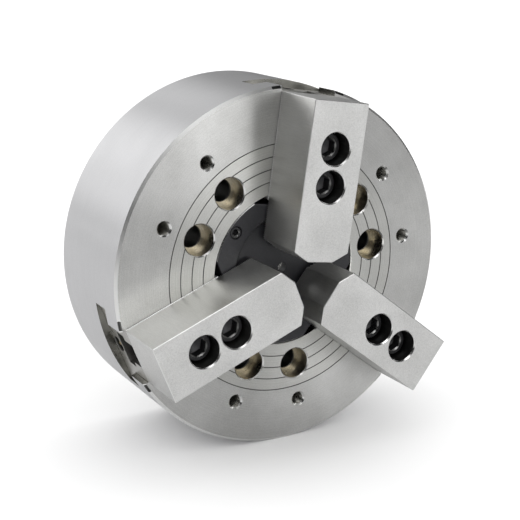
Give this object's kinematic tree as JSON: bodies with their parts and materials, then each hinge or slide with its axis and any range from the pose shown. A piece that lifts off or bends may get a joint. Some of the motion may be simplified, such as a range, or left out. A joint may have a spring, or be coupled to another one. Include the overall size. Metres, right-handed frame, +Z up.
{
  "type": "lathe power chuck",
  "caption": "Wedge-operated lathe chuck: thick round body with T-slots, sliding master jaws, bolted blank soft jaws, a central cover and a rear draw nut.",
  "frame": {"origin": "on the chuck's axis, at the rear mounting face", "axes": "+Y along the axis towards the machine spindle, the jaws face -Y; +X right and +Z up for someone facing the jaws"},
  "size_m": [0.304, 0.165, 0.304],
  "materials": {
    "turned_steel": "fine turned face with concentric marks, ground rim",
    "hardened_steel": "ground and hardened",
    "soft_jaw_steel": "fine milled",
    "wedge_steel": "ground, oiled",
    "black_oxide": "black oxide, satin",
    "nipple_brass": "plain"
  },
  "bodies": {
    "chuck": {"chuck_body": "turned_steel", "centre_cover": "black_oxide", "blanking_plug": "black_oxide", "cover_screw_1": "black_oxide", "cover_screw_2": "black_oxide", "cover_screw_3": "black_oxide"},
    "plunger": {"wedge_plunger": "wedge_steel", "nut_retainer": "black_oxide"},
    "draw_nut": {"draw_nut": "hardened_steel"},
    "jaw_1": {"master_jaw_1": "hardened_steel", "jaw_nut_1": "black_oxide", "top_jaw_1": "soft_jaw_steel", "jaw_bolt_1_1": "black_oxide", "jaw_bolt_1_2": "black_oxide", "grease_nipple_1": "nipple_brass"},
    "jaw_2": {"master_jaw_2": "hardened_steel", "jaw_nut_2": "black_oxide", "top_jaw_2": "soft_jaw_steel", "jaw_bolt_2_1": "black_oxide", "jaw_bolt_2_2": "black_oxide", "grease_nipple_2": "nipple_brass"},
    "jaw_3": {"master_jaw_3": "hardened_steel", "jaw_nut_3": "black_oxide", "top_jaw_3": "soft_jaw_steel", "jaw_bolt_3_1": "black_oxide", "jaw_bolt_3_2": "black_oxide", "grease_nipple_3": "nipple_brass"}
  },
  "joints": [
    {"name": "plunger_slide", "type": "slide", "parent": "chuck", "child": "plunger", "axis": [0, 1, 0], "range_m": [-0.0115, 0.0115]},
    {"name": "draw_nut_spin", "type": "hinge", "parent": "plunger", "child": "draw_nut", "pos_m": [0, -0.0325, 0], "axis": [0, 1, 0], "continuous": true},
    {"name": "jaw_1_slide", "type": "slide", "parent": "chuck", "child": "jaw_1", "axis": [0.1392, 0, 0.9903], "range_m": [-0.00266, 0.00266]},
    {"name": "jaw_2_slide", "type": "slide", "parent": "chuck", "child": "jaw_2", "axis": [-0.9272, 0, -0.3746], "range_m": [-0.00266, 0.00266]},
    {"name": "jaw_3_slide", "type": "slide", "parent": "chuck", "child": "jaw_3", "axis": [0.788, 0, -0.6157], "range_m": [-0.00266, 0.00266]}
  ],
  "couplings": [
    {"joint": "jaw_1_slide", "follows": "plunger_slide", "ratio": -0.23087},
    {"joint": "jaw_2_slide", "follows": "plunger_slide", "ratio": -0.23087},
    {"joint": "jaw_3_slide", "follows": "plunger_slide", "ratio": -0.23087}
  ]
}
